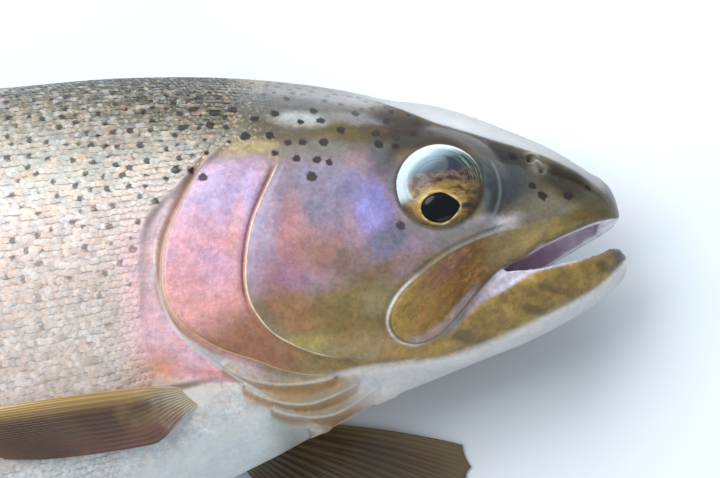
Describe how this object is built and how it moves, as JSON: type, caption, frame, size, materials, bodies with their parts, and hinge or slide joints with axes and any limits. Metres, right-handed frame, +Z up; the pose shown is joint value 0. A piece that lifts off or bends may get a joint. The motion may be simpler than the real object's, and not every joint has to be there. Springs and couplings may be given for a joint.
{
  "type": "rainbow trout",
  "caption": "Life-size still model of a freshly caught rainbow trout lying on its left side, mouth slightly open, tail curved gently towards the belly.",
  "frame": {"origin": "centre of the footprint's bounding box, on the floor", "axes": "+X towards the snout along the fish, +Y from belly to back, +Z up through the right flank"},
  "size_m": [0.3698, 0.1156, 0.0418],
  "materials": {
    "head_skin": "wet smooth skin, olive to gold",
    "cheek_skin": "wet smooth skin, pink with a violet sheen",
    "flank_skin": "wet silvery scales",
    "fin": "wet ribbed membrane",
    "eye": "polished"
  },
  "bodies": {
    "root": {"head": "head_skin", "lower_jaw": "head_skin", "maxilla_right": "head_skin", "maxilla_left": "head_skin", "gill_cover_right": "cheek_skin", "gill_cover_left": "cheek_skin", "throat": "cheek_skin", "eye_right": "eye", "eye_left": "eye", "trunk": "flank_skin", "tail_stalk": "flank_skin", "dorsal_fin": "fin", "adipose_fin": "fin", "tail_fin": "fin", "anal_fin": "fin", "pelvic_fin_right": "fin", "pelvic_fin_left": "fin", "pectoral_fin_right": "fin", "pectoral_fin_left": "fin"}
  },
  "joints": []
}
